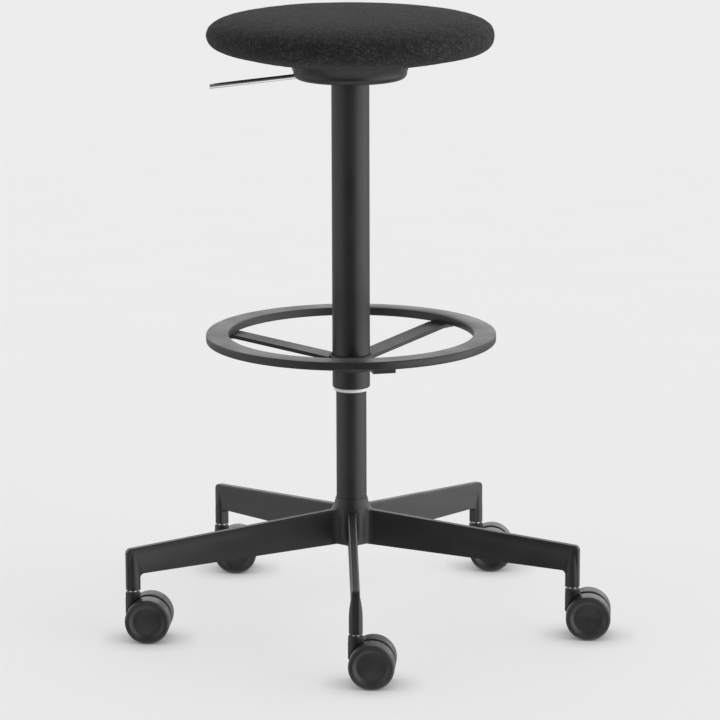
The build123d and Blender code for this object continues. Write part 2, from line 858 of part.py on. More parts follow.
def make_body(foot, name):
    """Neck over the wheels and the web between them."""
    side = upright(foot)
    with BuildPart() as body:
        with BuildSketch(side):
            with Locations((wheel_trail, wheel_radius)):
                Circle(web_radius)
            with Locations((0, (neck_bottom + shoulder_height) / 2)):
                Rectangle(2 * neck_radius, shoulder_height - neck_bottom)
            make_hull()
        extrude(amount=web_thickness / 2, both=True)
        with BuildSketch(foot.offset(neck_bottom)):
            Circle(neck_radius)
        extrude(amount=neck_top - neck_bottom)
        chamfer(body.edges().group_by(Axis.Z)[-1], neck_chamfer)
        for direction in (-1, 1):
            with BuildSketch(upright(foot, direction * web_thickness / 2)):
                with Locations((wheel_trail, wheel_radius)):
                    Circle(wheel_radius + wheel_clearance)
            extrude(amount=-direction * neck_radius, mode=Mode.SUBTRACT)
        with BuildSketch(side):
            with Locations((wheel_trail, wheel_radius)):
                Circle(axle_radius)
        extrude(amount=web_thickness, both=True, mode=Mode.SUBTRACT)
        with BuildSketch(foot.offset(shank_bottom)):
            Circle(shank_radius)
        extrude(amount=shank_top - shank_bottom, mode=Mode.SUBTRACT)
        with BuildSketch(foot.offset(shank_top)):
            Circle(stem_radius)
        extrude(amount=neck_top - shank_top, mode=Mode.SUBTRACT)
    save(body, f"caster_body_{name}")


def make_axle(foot, name):
    """Steel pin through the web, with a wheel on each end."""
    with BuildPart() as axle:
        with BuildSketch(upright(foot)):
            with Locations((wheel_trail, wheel_radius)):
                Circle(axle_radius)
        extrude(amount=wheel_inner + axle_depth - axle_end_gap, both=True)
        chamfer(axle.edges().filter_by(GeomType.CIRCLE), axle_chamfer)
    save(axle, f"axle_{name}")


def make_wheel(foot, direction, name):
    """One wheel: tread with rounded shoulders, rim face, bevel and recessed cap."""
    centre = foot.origin + foot.x_dir * wheel_trail + Vector(0, 0, wheel_radius)
    out = foot.y_dir * direction
    bore = axle_radius + slide_fit
    with BuildPart() as wheel:
        with BuildSketch(Plane(origin=centre, x_dir=out, z_dir=out.cross(foot.z_dir))):
            with BuildLine():
                Polyline(
                    (wheel_inner + axle_depth, 0),
                    (wheel_inner + axle_depth, bore),
                    (wheel_inner, bore),
                    (wheel_inner, hub_of_wheel),
                    (wheel_inner + inner_pocket, hub_of_wheel),
                    (wheel_inner + inner_pocket, rim_inner),
                    (wheel_inner, rim_inner),
                    (wheel_inner, wheel_radius - tread_edge),
                )
                RadiusArc(
                    (wheel_inner, wheel_radius - tread_edge),
                    (wheel_inner + tread_edge, wheel_radius),
                    tread_edge,
                )
                Line(
                    (wheel_inner + tread_edge, wheel_radius),
                    (wheel_outer - tread_shoulder, wheel_radius),
                )
                RadiusArc(
                    (wheel_outer - tread_shoulder, wheel_radius),
                    (wheel_outer, wheel_radius - tread_shoulder),
                    tread_shoulder,
                )
                Polyline(
                    (wheel_outer, wheel_radius - tread_shoulder),
                    (wheel_outer, face_inner),
                    (wheel_outer - cap_recess, cap_radius),
                    (wheel_outer - cap_recess, 0),
                    (wheel_inner + axle_depth, 0),
                )
            make_face()
        revolve(axis=Axis(centre, out))
    save(wheel, name)


for name, angle in zip(caster_names, caster_angles):
    foot = caster_plane(angle)
    make_stem(foot, name)
    make_body(foot, name)
    make_axle(foot, name)
    make_wheel(foot, -1, f"wheel_{name}_a")
    make_wheel(foot, 1, f"wheel_{name}_b")
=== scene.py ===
import json
import math
import random

import bmesh
import bpy
import numpy as np
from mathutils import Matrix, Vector, noise


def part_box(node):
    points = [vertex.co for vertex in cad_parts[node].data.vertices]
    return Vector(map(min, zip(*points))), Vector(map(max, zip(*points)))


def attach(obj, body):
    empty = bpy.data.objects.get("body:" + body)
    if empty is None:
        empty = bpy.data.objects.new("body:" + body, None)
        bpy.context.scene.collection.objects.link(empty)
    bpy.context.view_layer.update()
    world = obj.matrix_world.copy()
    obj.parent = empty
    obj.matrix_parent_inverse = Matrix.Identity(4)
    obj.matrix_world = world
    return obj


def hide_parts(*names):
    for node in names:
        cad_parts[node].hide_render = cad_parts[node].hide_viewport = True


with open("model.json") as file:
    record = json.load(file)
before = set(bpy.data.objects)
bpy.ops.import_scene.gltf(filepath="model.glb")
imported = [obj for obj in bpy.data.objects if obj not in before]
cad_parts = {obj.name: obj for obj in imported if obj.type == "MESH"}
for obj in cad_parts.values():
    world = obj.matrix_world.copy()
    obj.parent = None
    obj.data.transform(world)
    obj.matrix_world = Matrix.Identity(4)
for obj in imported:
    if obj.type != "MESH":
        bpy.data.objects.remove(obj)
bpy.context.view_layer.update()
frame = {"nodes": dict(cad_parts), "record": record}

# Adjustable swivel stool. Metres, in the CAD frame: origin on the floor under the column.

MM = 0.001
NOISE_MIDDLE = (0.3, 0.7)  # where most values of a noise texture lie
EDGE_FACING = (0.80, 0.99)  # how well rounded and true normals agree: at an edge, on a face

# ---- node helpers -------------------------------------------------------------------------


def new_material(name, color, roughness, metallic=0.0, specular=0.5):
    """A Principled material with its plain values set on the shader's own sockets."""
    mat = bpy.data.materials.new(name)
    mat.use_nodes = True
    shader = mat.node_tree.nodes["Principled BSDF"]
    shader.inputs["Base Color"].default_value = (*color, 1.0)
    shader.inputs["Roughness"].default_value = roughness
    shader.inputs["Metallic"].default_value = metallic
    shader.inputs["Specular IOR Level"].default_value = specular
    return mat


def shader_of(mat):
    return mat.node_tree.nodes["Principled BSDF"]


def place(tree, scale=(1.0, 1.0, 1.0), rotation=(0.0, 0.0, 0.0)):
    """Object coordinates, stretched and turned."""
    coords = tree.nodes.new("ShaderNodeTexCoord")
    mapping = tree.nodes.new("ShaderNodeMapping")
    mapping.inputs["Scale"].default_value = scale
    mapping.inputs["Rotation"].default_value = rotation
    tree.links.new(coords.outputs["Object"], mapping.inputs["Vector"])
    return mapping.outputs["Vector"]


def grain(tree, scale, detail=2.0, roughness=0.5, vector=None, distortion=0.0):
    """Value of a noise texture; scale is in cycles per metre."""
    node = tree.nodes.new("ShaderNodeTexNoise")
    node.inputs["Scale"].default_value = scale
    node.inputs["Detail"].default_value = detail
    node.inputs["Roughness"].default_value = roughness
    node.inputs["Distortion"].default_value = distortion
    tree.links.new(vector or place(tree), node.inputs["Vector"])
    return node.outputs["Fac"]


def streaks(tree, scale, detail, rotation=(0.0, 0.0, 0.0), roughness=0.5, distortion=0.0):
    """Noise with its own cycles per metre along each axis."""
    return grain(tree, 1.0, detail, roughness, place(tree, scale, rotation), distortion)


def remap(tree, value, low, high, out_low, out_high, soft=False):
    node = tree.nodes.new("ShaderNodeMapRange")
    if soft:
        node.interpolation_type = "SMOOTHSTEP"
    node.inputs["From Min"].default_value = low
    node.inputs["From Max"].default_value = high
    node.inputs["To Min"].default_value = out_low
    node.inputs["To Max"].default_value = out_high
    tree.links.new(value, node.inputs["Value"])
    return node.outputs["Result"]


def spread(tree, value, out_low, out_high):
    """Spreads the middle of a noise over a new range."""
    return remap(tree, value, *NOISE_MIDDLE, out_low, out_high)


def math_node(tree, operation, first, second):
    node = tree.nodes.new("ShaderNodeMath")
    node.operation = operation
    for socket, value in zip(node.inputs, (first, second)):
        if isinstance(value, float):
            socket.default_value = value
        else:
            tree.links.new(value, socket)
    return node.outputs["Value"]


def add(tree, first, second):
    return math_node(tree, "ADD", first, second)


def times(tree, first, second):
    return math_node(tree, "MULTIPLY", first, second)


def dot_product(tree, first, second):
    """Dot product of two directions; the second may be a fixed one."""
    node = tree.nodes.new("ShaderNodeVectorMath")
    node.operation = "DOT_PRODUCT"
    tree.links.new(first, node.inputs[0])
    if isinstance(second, Vector):
        node.inputs[1].default_value = second
    else:
        tree.links.new(second, node.inputs[1])
    return node.outputs["Value"]


def ramp(tree, value, stops):
    """Colour ramp; stops are (position, (r, g, b))."""
    node = tree.nodes.new("ShaderNodeValToRGB")
    elements = node.color_ramp.elements
    while len(elements) < len(stops):
        elements.new(0.5)
    for element, (position, color) in zip(elements, stops):
        element.position = position
        element.color = (*color, 1.0)
    tree.links.new(value, node.inputs["Fac"])
    return node.outputs["Color"]


def mix_color(tree, factor, first, second):
    node = tree.nodes.new("ShaderNodeMix")
    node.data_type = "RGBA"
    tree.links.new(factor, node.inputs["Factor"])
    for name, value in (("A", first), ("B", second)):
        socket = [s for s in node.inputs if s.name == name and s.type == "RGBA"][0]
        if isinstance(value, tuple):
            socket.default_value = (*value, 1.0)
        else:
            tree.links.new(value, socket)
    return [s for s in node.outputs if s.type == "RGBA"][0]


def rounded_normal(tree, radius):
    """Normal with the edges rounded to a small radius."""
    node = tree.nodes.new("ShaderNodeBevel")
    node.samples = 4
    node.inputs["Radius"].default_value = radius
    return node.outputs["Normal"]


def edge_mask(tree, radius):
    """0 on open faces, 1 close to an outer or inner edge."""
    geometry = tree.nodes.new("ShaderNodeNewGeometry")
    facing = dot_product(tree, rounded_normal(tree, radius), geometry.outputs["Normal"])
    return remap(tree, facing, *EDGE_FACING, 1.0, 0.0)


def bump(tree, height, strength, distance, normal=None):
    node = tree.nodes.new("ShaderNodeBump")
    node.inputs["Strength"].default_value = strength
    node.inputs["Distance"].default_value = distance
    tree.links.new(height, node.inputs["Height"])
    if normal is not None:
        tree.links.new(normal, node.inputs["Normal"])
    return node.outputs["Normal"]


def wire(mat, color=None, roughness=None, normal=None):
    """Joins the worked-out values to the shader."""
    shader = shader_of(mat)
    for name, value in (("Base Color", color), ("Roughness", roughness), ("Normal", normal)):
        if value is not None:
            mat.node_tree.links.new(value, shader.inputs[name])
    return mat


# ---- materials ----------------------------------------------------------------------------


def wool_felt():
    """Dark grey melange felt: light and dark fibres, soft fuzz."""
    mat = new_material("wool_felt", (0.05, 0.05, 0.051), 0.95, specular=0.2)
    tree = mat.node_tree
    flecks = grain(tree, 480.0, detail=2.0, roughness=0.7)
    along = streaks(tree, (160.0, 900.0, 520.0), 1.0, rotation=(0.2, 0.1, 0.5))
    across = streaks(tree, (860.0, 180.0, 460.0), 1.0, rotation=(0.1, 0.3, 0.9))
    fibres = math_node(tree, "MAXIMUM", along, across)
    blend = add(tree, times(tree, flecks, 0.55), times(tree, fibres, 0.35))
    tufts = grain(tree, 300.0, detail=1.0)
    blend = add(tree, blend, spread(tree, tufts, -0.07, 0.07))
    mottle = grain(tree, 105.0, detail=2.0)
    blend = add(tree, blend, spread(tree, mottle, -0.05, 0.05))
    color = ramp(tree, blend, (
        (0.34, (0.014, 0.014, 0.015)),
        (0.47, (0.024, 0.024, 0.025)),
        (0.54, (0.038, 0.038, 0.039)),
        (0.66, (0.080, 0.080, 0.082)),
    ))
    fuzz = grain(tree, 1600.0, detail=2.0, roughness=0.7)
    lumps = grain(tree, 170.0, detail=2.0)
    relief = add(tree, blend, times(tree, fuzz, 0.25))
    relief = add(tree, relief, times(tree, lumps, 0.8))
    wire(mat, color=color, normal=bump(tree, relief, 1.0, 1.6 * MM))
    shader = shader_of(mat)
    shader.inputs["Sheen Weight"].default_value = 0.05
    shader.inputs["Sheen Roughness"].default_value = 0.55
    shader.inputs["Sheen Tint"].default_value = (0.75, 0.75, 0.77, 1.0)
    return mat


def powder_coat():
    """Satin black powder coat with a fine orange peel, and a painted highlight that makes it a
    little paler along its edges.
    """
    mat = new_material("powder_coat", (0.017, 0.017, 0.018), 0.42, specular=0.5)
    tree = mat.node_tree
    peel = grain(tree, 900.0, detail=2.0, roughness=0.5)
    speck = grain(tree, 3200.0, detail=1.0)
    cloudy = grain(tree, 22.0, detail=3.0)
    surface = add(tree, peel, times(tree, speck, 0.3))
    roughness = spread(tree, cloudy, 0.37, 0.47)
    # painted highlight: patches of lighter colour along the edges, where the edges catch the
    # light
    highlight_patches = remap(tree, grain(tree, 90.0, detail=3.0), 0.45, 0.65, 0.0, 0.5)
    edge_highlight = times(tree, edge_mask(tree, 1.2 * MM), highlight_patches)
    shade = spread(tree, cloudy, 0.0, 1.0)
    base = mix_color(tree, shade, (0.014, 0.014, 0.015), (0.020, 0.020, 0.021))
    color = mix_color(tree, edge_highlight, base, (0.060, 0.060, 0.062))
    normal = bump(tree, surface, 0.10, 0.25 * MM, rounded_normal(tree, 0.5 * MM))
    return wire(mat, color, roughness, normal)


def moulded_plastic(name, shade, low, high, texture):
    """Black moulded plastic with a fine sparked texture and a painted highlight that lightens its
    edges.
    """
    mat = new_material(name, (shade, shade, shade * 1.05), (low + high) / 2, specular=0.45)
    tree = mat.node_tree
    spark = grain(tree, texture, detail=2.0, roughness=0.6)
    cloudy = grain(tree, 45.0, detail=3.0)
    roughness = spread(tree, cloudy, low, high)
    dark = (shade * 0.8, shade * 0.8, shade * 0.85)
    light = (shade * 1.25, shade * 1.25, shade * 1.3)
    base = mix_color(tree, remap(tree, cloudy, 0.35, 0.65, 0.0, 1.0), dark, light)
    # painted highlight: the edges are lightened in colour, where they catch the light
    edge_highlight = times(tree, edge_mask(tree, 0.9 * MM), remap(tree, spark, 0.4, 0.6, 0.1, 0.5))
    color = mix_color(tree, edge_highlight, base, (shade * 3.5, shade * 3.5, shade * 3.5))
    normal = bump(tree, spark, 0.16, 0.12 * MM, rounded_normal(tree, 0.4 * MM))
    return wire(mat, color, roughness, normal)


def polished_chrome():
    """Bright plated steel with hairline wiping marks."""
    mat = new_material("polished_chrome", (0.80, 0.80, 0.81), 0.10, metallic=1.0)
    tree = mat.node_tree
    hairs = streaks(tree, (60.0, 4000.0, 4000.0), 3.0, roughness=0.6)
    smears = grain(tree, 70.0, detail=3.0)
    both = add(tree, times(tree, hairs, 0.6), times(tree, smears, 0.4))
    color = ramp(tree, smears, ((0.3, (0.74, 0.74, 0.75)), (0.7, (0.84, 0.84, 0.85))))
    return wire(mat, color, spread(tree, both, 0.05, 0.17), bump(tree, hairs, 0.04, 0.05 * MM))


def zinc_plate():
    """Zinc-plated steel: pale, cloudy and slightly rough."""
    mat = new_material("zinc_plate", (0.48, 0.48, 0.50), 0.36, metallic=1.0)
    tree = mat.node_tree
    cloudy = grain(tree, 160.0, detail=4.0, roughness=0.6)
    drawn = streaks(tree, (3000.0, 3000.0, 120.0), 2.0)
    color = ramp(tree, cloudy, (
        (0.3, (0.40, 0.40, 0.43)),
        (0.55, (0.50, 0.50, 0.52)),
        (0.75, (0.58, 0.57, 0.54)),
    ))
    normal = bump(tree, drawn, 0.12, 0.08 * MM, rounded_normal(tree, 0.3 * MM))
    return wire(mat, color, spread(tree, cloudy, 0.28, 0.44), normal)


def natural_acetal():
    """Off-white bearing plastic, a little darker where it is rubbed."""
    mat = new_material("natural_acetal", (0.82, 0.82, 0.80), 0.38)
    tree = mat.node_tree
    rub = streaks(tree, (500.0, 500.0, 60.0), 3.0)
    color = ramp(tree, rub, ((0.35, (0.76, 0.76, 0.74)), (0.65, (0.86, 0.86, 0.84))))
    return wire(mat, color, spread(tree, rub, 0.30, 0.48), bump(tree, rub, 0.08, 0.1 * MM))


def bump_rubber():
    """Dusty black rubber."""
    mat = new_material("bump_rubber", (0.020, 0.020, 0.020), 0.75, specular=0.35)
    tree = mat.node_tree
    dust = grain(tree, 400.0, detail=4.0, roughness=0.65)
    color = ramp(tree, dust, ((0.4, (0.014, 0.014, 0.014)), (0.7, (0.040, 0.040, 0.039))))
    return wire(mat, color, spread(tree, dust, 0.66, 0.85), bump(tree, dust, 0.2, 0.1 * MM))


def birch_ply():
    """Birch plywood: pale faces with darker glue lines on the cut edge."""
    mat = new_material("birch_ply", (0.60, 0.45, 0.28), 0.6)
    tree = mat.node_tree
    figure = streaks(tree, (25.0, 260.0, 700.0), 4.0, roughness=0.6, distortion=0.6)
    layers = tree.nodes.new("ShaderNodeTexWave")
    layers.bands_direction = "Z"
    layers.inputs["Scale"].default_value = 105.0
    layers.inputs["Distortion"].default_value = 0.2
    tree.links.new(place(tree), layers.inputs["Vector"])
    face = ramp(tree, figure, ((0.3, (0.50, 0.36, 0.21)), (0.7, (0.68, 0.53, 0.35))))
    lines = remap(tree, layers.outputs["Fac"], 0.75, 1.0, 0.0, 0.6)
    color = mix_color(tree, lines, face, (0.24, 0.14, 0.07))
    return wire(mat, color, spread(tree, figure, 0.5, 0.7), bump(tree, figure, 0.2, 0.2 * MM))


MATERIALS = {
    "seat_fabric": wool_felt(),
    "black_coat": powder_coat(),
    "cover_plastic": moulded_plastic("cover_plastic", 0.019, 0.34, 0.44, 1500.0),
    "caster_plastic": moulded_plastic("caster_nylon", 0.020, 0.42, 0.56, 2200.0),
    "wheel_plastic": moulded_plastic("wheel_nylon", 0.036, 0.34, 0.46, 2600.0),
    "bright_steel": polished_chrome(),
    "steel": zinc_plate(),
    "bush_plastic": natural_acetal(),
    "rubber_black": bump_rubber(),
    "plywood": birch_ply(),
}

# ---- the CAD nodes: smooth shading and finishes -------------------------------------------

SHARP_ANGLE = math.radians(28.0)
MERGE_DISTANCE = 0.002 * MM


def shading_group():
    """Geometry nodes that join the CAD faces' borders and shade them smooth below an angle."""
    group = bpy.data.node_groups.new("cad_shading", "GeometryNodeTree")
    group.interface.new_socket("Geometry", in_out="INPUT", socket_type="NodeSocketGeometry")
    group.interface.new_socket("Geometry", in_out="OUTPUT", socket_type="NodeSocketGeometry")
    nodes, links = group.nodes, group.links
    start = nodes.new("NodeGroupInput")
    end = nodes.new("NodeGroupOutput")
    merge = nodes.new("GeometryNodeMergeByDistance")
    merge.inputs["Distance"].default_value = MERGE_DISTANCE
    forget = nodes.new("GeometryNodeRemoveAttribute")
    forget.inputs["Name"].default_value = "custom_normal"
    smooth = nodes.new("GeometryNodeSetShadeSmooth")
    sharp = nodes.new("GeometryNodeSetShadeSmooth")
    sharp.domain = "EDGE"
    sharp.inputs["Shade Smooth"].default_value = False
    angle = nodes.new("GeometryNodeInputMeshEdgeAngle")
    above = nodes.new("FunctionNodeCompare")
    above.operation = "GREATER_THAN"
    above.inputs["B"].default_value = SHARP_ANGLE
    links.new(start.outputs["Geometry"], forget.inputs["Geometry"])
    links.new(forget.outputs["Geometry"], merge.inputs["Geometry"])
    links.new(merge.outputs["Geometry"], smooth.inputs["Geometry"])
    links.new(smooth.outputs["Geometry"], sharp.inputs["Geometry"])
    links.new(angle.outputs["Unsigned Angle"], above.inputs["A"])
    links.new(above.outputs["Result"], sharp.inputs["Selection"])
    links.new(sharp.outputs["Geometry"], end.inputs["Geometry"])
    return group


shading = shading_group()
for subpart in frame["record"]["subparts"]:
    node = frame["nodes"][subpart["node"]]
    node.material_slots[0].material = MATERIALS[subpart["material_slot"]]
    modifier = node.modifiers.new("shading", "NODES")
    modifier.node_group = shading

# ---- seat cushion -------------------------------------------------------------------------

# The pulls are the reach of the curves' handles; a larger one makes a fuller, blunter curve.
CROWN_PULL = 46 * MM       # inwards from the edge, on the flat of the crown
SHOULDER_PULL = 24 * MM    # up from the widest line
BELLY_PULL = 20 * MM       # down from the widest line
UNDERSIDE_PULL = 13 * MM   # inwards from the edge, on the underside
UNDERSIDE_LIFT = 1.5 * MM  # height of that handle above the underside
COVER_GAP = 1 * MM         # between the cover and the mouth of the pocket
BOARD_GAP = 0.6 * MM       # between the board and the ceiling of the pocket
MOUTH_LIP = (6 * MM, 1 * MM)   # the mouth's rounding: inwards, up
POCKET_INSET = 8 * MM      # the pocket's wall, inwards from the mouth
WIDEST = 800.5 * MM        # height of the cushion's widest line
START_INSET = 1.8 * MM     # the cushion starts this much smaller, before it swells
SWELL_CAP = 2.6 * MM       # no point swells further than this
SWELL_FRAMES = 20
CLOTH_QUALITY = 6
VOXEL = 5 * MM
PRESSURE = 4.0
PROFILE_STEPS = 26
TURN_STEPS = 144
CUSHION_SEED = 7
PLEATS = 46
PLEAT_DEPTH = 0.9 * MM
PLEAT_REACH = 75 * MM      # how far the pleats run out from the cover
PLEAT_FACING = -0.55       # they are only where the cloth faces down more than this
UNEVEN = 0.5 * MM
UNEVEN_CYCLES = 14.0       # per metre
FULLER = 1.6 * MM          # the belly stands out this much more towards +X


def bezier(points, steps):
    """Points along a cubic, without the first."""
    a, b, c, d = (np.array(p, float) for p in points)
    out = []
    for i in range(1, steps + 1):
        t = i / steps
        u = 1 - t
        out.append(u ** 3 * a + 3 * u ** 2 * t * b + 3 * u * t * t * c + t ** 3 * d)
    return [tuple(p) for p in out]


def cushion_profile():
    """(radius, height) from the middle of the top, round the edge, into the pocket below."""
    low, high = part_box("seat_cushion")
    cover_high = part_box("mechanism_cover")[1]
    board_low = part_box("seat_board")[0]
    radius = high.x - START_INSET
    top = high.z - START_INSET
    under = low.z + START_INSET / 2
    mouth = cover_high.x + COVER_GAP
    ceiling = board_low.z - BOARD_GAP
    upper_curve = (
        (0.0, top),
        (radius - CROWN_PULL, top),
        (radius, WIDEST + SHOULDER_PULL),
        (radius, WIDEST),
    )
    lower_curve = (
        (radius, WIDEST),
        (radius, WIDEST - BELLY_PULL),
        (radius - UNDERSIDE_PULL, under + UNDERSIDE_LIFT),
        (mouth, under),
    )
    profile = [(0.0, top)]
    profile += bezier(upper_curve, PROFILE_STEPS)
    profile += bezier(lower_curve, PROFILE_STEPS)
    lip_in, lip_up = MOUTH_LIP
    profile += [(mouth - lip_in, under + lip_up), (mouth - POCKET_INSET, ceiling), (0.0, ceiling)]
    return profile


def solid_piece(name, bm):
    """Turns a closed bmesh into a smooth-shaded object."""
    bmesh.ops.recalc_face_normals(bm, faces=bm.faces)
    for face in bm.faces:
        face.smooth = True
    mesh = bpy.data.meshes.new(name)
    bm.to_mesh(mesh)
    bm.free()
    piece = bpy.data.objects.new(name, mesh)
    bpy.context.collection.objects.link(piece)
    return piece


def turned(name, profile, steps):
    """Closed surface of revolution from a profile that starts and ends on the axis."""
    bm = bmesh.new()
    turns = [2 * math.pi * i / steps for i in range(steps)]
    rings = []
    for radius, height in profile:
        on_axis = radius < 1e-9
        spots = [(radius * math.cos(a), radius * math.sin(a), height) for a in turns]
        rings.append([bm.verts.new(spot) for spot in ([(0, 0, height)] if on_axis else spots)])
    for first, second in zip(rings, rings[1:]):
        for i in range(steps):
            j = (i + 1) % steps
            corners = [ring[k % len(ring)] for ring, k in
                       ((first, i), (second, i), (second, j), (first, j))]
            bm.faces.new(list(dict.fromkeys(corners)))
    return solid_piece(name, bm)


def apply_modifiers(piece):
    """Replaces the mesh by what its modifiers make of it."""
    depsgraph = bpy.context.evaluated_depsgraph_get()
    result = bpy.data.meshes.new_from_object(piece.evaluated_get(depsgraph))
    piece.modifiers.clear()
    old = piece.data
    piece.data = result
    bpy.data.meshes.remove(old)


def read_spots(piece):
    """Places of the piece's vertices, one row each."""
    spots = np.zeros(len(piece.data.vertices) * 3)
    piece.data.vertices.foreach_get("co", spots)
    return spots.reshape(-1, 3)


def swell(piece):
    """Puffs the cushion up by cloth pressure and caps how far each point may go."""
    rest = read_spots(piece)
    held = piece.vertex_groups.new(name="held")
    board_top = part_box("seat_board")[1]
    radii = np.hypot(rest[:, 0], rest[:, 1])
    tucked = np.where((rest[:, 2] < WIDEST - BELLY_PULL) & (radii < board_top.x))[0]
    held.add([int(i) for i in tucked], 1.0, "REPLACE")
    cloth = piece.modifiers.new("puff", "CLOTH")
    cloth.settings.use_pressure = True
    cloth.settings.uniform_pressure_force = PRESSURE
    cloth.settings.effector_weights.gravity = 0.0
    cloth.settings.vertex_group_mass = "held"
    cloth.settings.quality = CLOTH_QUALITY
    cloth.point_cache.frame_start = 1
    cloth.point_cache.frame_end = SWELL_FRAMES
    for number in range(1, SWELL_FRAMES + 1):
        bpy.context.scene.frame_set(number)
    apply_modifiers(piece)
    bpy.context.scene.frame_set(1)
    shift = read_spots(piece) - rest
    length = np.linalg.norm(shift, axis=1)
    shift *= np.minimum(1.0, SWELL_CAP / np.maximum(length, 1e-12))[:, None]
    piece.data.vertices.foreach_set("co", (rest + shift).ravel())
    piece.vertex_groups.clear()


def fill_out(piece):
    """Stretches the cushion to its full width and height."""
    low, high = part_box("seat_cushion")
    spots = read_spots(piece)
    spots[:, :2] *= high.x / np.hypot(spots[:, 0], spots[:, 1]).max()
    heights = spots[:, 2]
    upper = heights > WIDEST
    for part, now, full in ((upper, heights.max(), high.z), (~upper, heights.min(), low.z)):
        heights[part] = WIDEST + (heights[part] - WIDEST) * (full - WIDEST) / (now - WIDEST)
    piece.data.vertices.foreach_set("co", spots.ravel())


def dress(piece):
    """Gathers the cloth into small pleats underneath; leaves the foam uneven and lopsided."""
    mesh = piece.data
    draw = random.Random(CUSHION_SEED)
    phases = [draw.uniform(0, 2 * math.pi) for _ in range(3)]
    cover_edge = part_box("mechanism_cover")[1].x
    normals = [v.normal.copy() for v in mesh.vertices]
    for vertex, normal in zip(mesh.vertices, normals):
        spot = vertex.co
        radius = math.hypot(spot.x, spot.y)
        turn = math.atan2(spot.y, spot.x)
        drift = UNEVEN * noise.noise(spot * UNEVEN_CYCLES)
        belly = max(0.0, min(1.0, (WIDEST - spot.z) / BELLY_PULL))
        belly *= max(0.0, (radius - cover_edge) / cover_edge)
        drift += FULLER * min(1.0, belly) * spot.x / max(radius, cover_edge)
        if normal.z < PLEAT_FACING and radius > cover_edge:
            near = max(0.0, 1 - (radius - cover_edge) / PLEAT_REACH)
            wave = math.sin(PLEATS * turn + phases[0] + 1.6 * math.sin(5 * turn + phases[1]))
            sharp = abs(wave) ** 0.6 * math.copysign(1, wave)
            depth = 0.7 + 0.3 * math.sin(7 * turn + phases[2])
            drift += PLEAT_DEPTH * near * (0.6 * sharp - 0.4) * depth
        vertex.co = spot + normal * drift


def make_cushion():
    cushion = turned("felt_cushion", cushion_profile(), TURN_STEPS)
    remesh = cushion.modifiers.new("even", "REMESH")
    remesh.mode = "VOXEL"
    remesh.voxel_size = VOXEL
    apply_modifiers(cushion)
    swell(cushion)
    fill_out(cushion)
    smooth = cushion.modifiers.new("smooth", "SUBSURF")
    smooth.levels = 1
    smooth.render_levels = 1
    apply_modifiers(cushion)
    dress(cushion)
    for face in cushion.data.polygons:
        face.use_smooth = True
    cushion.data.materials.clear()
    cushion.data.materials.append(MATERIALS["seat_fabric"])
    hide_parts("seat_cushion")
    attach(cushion, "seat")


make_cushion()

# ---- weld beads on the footring -----------------------------------------------------------

BEAD_RADIUS = 1.5 * MM
BEAD_STEP = 1.1 * MM       # distance between the ripples of a bead
BEAD_SIDES = 10
BEAD_UNEVEN = 0.05


def bead(name, path, closed=False):
    """Rippled weld bead along a path of points."""
    draw = random.Random(name)
    bm = bmesh.new()
    rings = []
    count = len(path)
    for i, point in enumerate(path):
        before = path[i - 1] if i or closed else path[i]
        after = path[(i + 1) % count] if i < count - 1 or closed else path[i]
        along = (after - before).normalized()
        side = along.cross(Vector((0, 0, 1))).normalized()
        up = side.cross(along)
        ripple = 0.86 + 0.14 * math.sin(i * math.pi / 2) + draw.uniform(-BEAD_UNEVEN, BEAD_UNEVEN)
        if not closed:
            ripple *= min(1.0, 0.35 + 0.3 * min(i, count - 1 - i))
        ring = []
        for k in range(BEAD_SIDES):
            a = 2 * math.pi * k / BEAD_SIDES
            offset = side * math.cos(a) + up * math.sin(a)
            ring.append(bm.verts.new(point + offset * BEAD_RADIUS * ripple))
        rings.append(ring)
    pairs = list(zip(rings, rings[1:]))
    if closed:
        pairs.append((rings[-1], rings[0]))
    else:
        bm.faces.new(rings[0][::-1])
        bm.faces.new(rings[-1])
    for first, second in pairs:
        for k in range(BEAD_SIDES):
            j = (k + 1) % BEAD_SIDES
            bm.faces.new((first[k], first[j], second[j], second[k]))
    piece = solid_piece(name, bm)
    piece.data.materials.append(MATERIALS["black_coat"])
    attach(piece, "seat")


def circle_path(radius, height, start, end):
    """Points on a level circle, a quarter ripple apart; angles in radians from +X."""
    count = max(8, int(abs(end - start) * radius / (BEAD_STEP / 4)))
    turns = [start + (end - start) * i / count for i in range(count)]
    return [Vector((radius * math.cos(a), radius * math.sin(a), height)) for a in turns]


SPOKE_WIDTH = 30 * MM
SPOKE_TURN = 12.1          # of the first spoke from -Y, degrees
RING_WIDTH = 30 * MM
ROOT_SHARE = 0.96          # how much of the spoke's width the bead at its root covers
# where the beads sit: outwards from the surface, and up from the edge
TUBE_BEAD_OUT = 0.6 * MM
RING_BEAD_OUT, RING_BEAD_UP = 0.2 * MM, 0.4 * MM
ROOT_BEAD_OUT, ROOT_BEAD_UP = 0.3 * MM, -2.6 * MM
tube_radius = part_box("upper_tube")[1].x
collar_low, collar_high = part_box("footring_collar")
ring_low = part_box("footring")[0]
ring_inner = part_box("footring")[1].x - RING_WIDTH

for end, height in (("top", collar_high.z), ("foot", collar_low.z)):
    circle = circle_path(tube_radius + TUBE_BEAD_OUT, height, 0, 2 * math.pi)
    bead(f"weld_collar_{end}", circle, closed=True)

for index, side in enumerate(("front", "right", "left")):
    middle = math.radians(SPOKE_TURN + 120 * index - 90)
    half = math.asin(SPOKE_WIDTH / 2 / ring_inner)
    edge = circle_path(ring_inner + RING_BEAD_OUT, ring_low.z + RING_BEAD_UP,
                       middle - half, middle + half)
    bead(f"weld_ring_{side}", edge)
    half = math.asin(SPOKE_WIDTH / 2 / collar_high.x) * ROOT_SHARE
    root = circle_path(collar_high.x + ROOT_BEAD_OUT, collar_high.z + ROOT_BEAD_UP,
                       middle - half, middle + half)
    bead(f"weld_root_{side}", root)

# ---- floor, light and camera --------------------------------------------------------------

